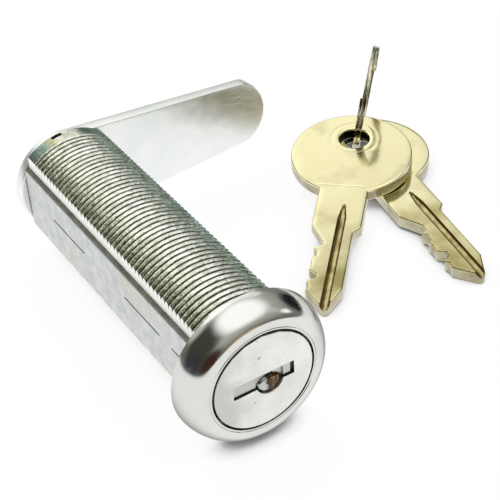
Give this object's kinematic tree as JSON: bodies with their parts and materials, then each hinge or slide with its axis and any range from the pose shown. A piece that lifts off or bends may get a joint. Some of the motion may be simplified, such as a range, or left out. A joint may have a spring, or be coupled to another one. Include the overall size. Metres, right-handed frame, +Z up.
{
  "type": "cam lock",
  "caption": "Long threaded cam lock with domed bezel, shuttered keyway, straight tapered cam and flat-sided barrel, with flat keys on a split ring.",
  "frame": {"origin": "centre of the bezel's back face, on the barrel's axis", "axes": "+Y along the barrel from the face to the cam, +X along the cam at rest, +Z up from the floor that the keys lie on"},
  "size_m": [0.0716, 0.0609, 0.0224],
  "materials": {
    "zinc": "die-cast zinc, plated, satin",
    "bezel_chrome": "polished",
    "face_steel": "satin",
    "shutter_steel": "satin",
    "cam_steel": "bright zinc plated",
    "brass": "machined",
    "key_nickel": "nickel plated, satin",
    "spring_steel": "bright",
    "plug_zinc": "die cast"
  },
  "bodies": {
    "housing": {"housing": "zinc", "bezel_ring": "bezel_chrome"},
    "plug": {"plug": "plug_zinc", "face_cap": "face_steel", "shutter_pin": "spring_steel", "shutter_spring": "spring_steel", "stop_washer": "cam_steel", "cam": "cam_steel", "lock_washer": "spring_steel", "cam_screw": "cam_steel", "wafer_spring_1": "spring_steel", "wafer_spring_2": "spring_steel", "wafer_spring_3": "spring_steel", "wafer_spring_4": "spring_steel", "wafer_spring_5": "spring_steel"},
    "shutter": {"dust_shutter": "shutter_steel"},
    "wafer_1": {"wafer_1": "brass"},
    "wafer_2": {"wafer_2": "brass"},
    "wafer_3": {"wafer_3": "brass"},
    "wafer_4": {"wafer_4": "brass"},
    "wafer_5": {"wafer_5": "brass"},
    "ring": {"split_ring": "spring_steel"},
    "key_a": {"key_a": "key_nickel"},
    "key_b": {"key_b": "key_nickel"}
  },
  "joints": [
    {"name": "plug_turn", "type": "hinge", "parent": "housing", "child": "plug", "pos_m": [0, 0, 0], "axis": [0, -1, 0], "range_deg": [0, 90]},
    {"name": "shutter_swing", "type": "hinge", "parent": "plug", "child": "shutter", "pos_m": [0, -0.0032, 0.002], "axis": [1, 0, 0], "range_deg": [0, 90], "stiffness_Nm_per_rad": 0.0001, "springref_deg": -28.65, "deforming": ["shutter_spring"]},
    {"name": "wafer_1_slide", "type": "slide", "parent": "plug", "child": "wafer_1", "axis": [1, 0, 0], "range_m": [-0.0011, 0.0008], "stiffness_N_per_m": 60, "springref_m": 0.002, "deforming": ["wafer_spring_1"]},
    {"name": "wafer_2_slide", "type": "slide", "parent": "plug", "child": "wafer_2", "axis": [1, 0, 0], "range_m": [-0.0011, 0.0008], "stiffness_N_per_m": 60, "springref_m": 0.002, "deforming": ["wafer_spring_2"]},
    {"name": "wafer_3_slide", "type": "slide", "parent": "plug", "child": "wafer_3", "axis": [1, 0, 0], "range_m": [-0.0011, 0.0008], "stiffness_N_per_m": 60, "springref_m": 0.002, "deforming": ["wafer_spring_3"]},
    {"name": "wafer_4_slide", "type": "slide", "parent": "plug", "child": "wafer_4", "axis": [1, 0, 0], "range_m": [-0.0011, 0.0008], "stiffness_N_per_m": 60, "springref_m": 0.002, "deforming": ["wafer_spring_4"]},
    {"name": "wafer_5_slide", "type": "slide", "parent": "plug", "child": "wafer_5", "axis": [1, 0, 0], "range_m": [-0.0011, 0.0008], "stiffness_N_per_m": 60, "springref_m": 0.002, "deforming": ["wafer_spring_5"]},
    {"name": "key_set_lift", "type": "slide", "parent": "housing", "child": "ring", "axis": [0, 0, 1], "range_m": [0, 0.06]},
    {"name": "key_a_swing", "type": "hinge", "parent": "ring", "child": "key_a", "pos_m": [0.04723, 0.04068, -0.00627], "axis": [-0.0696, -0.0728, 0.9949], "range_deg": [-30, 4]},
    {"name": "key_b_swing", "type": "hinge", "parent": "ring", "child": "key_b", "pos_m": [0.05, 0.04308, -0.00895], "axis": [-0.0053, -0.0325, 0.9995], "range_deg": [-4, 18]}
  ]
}
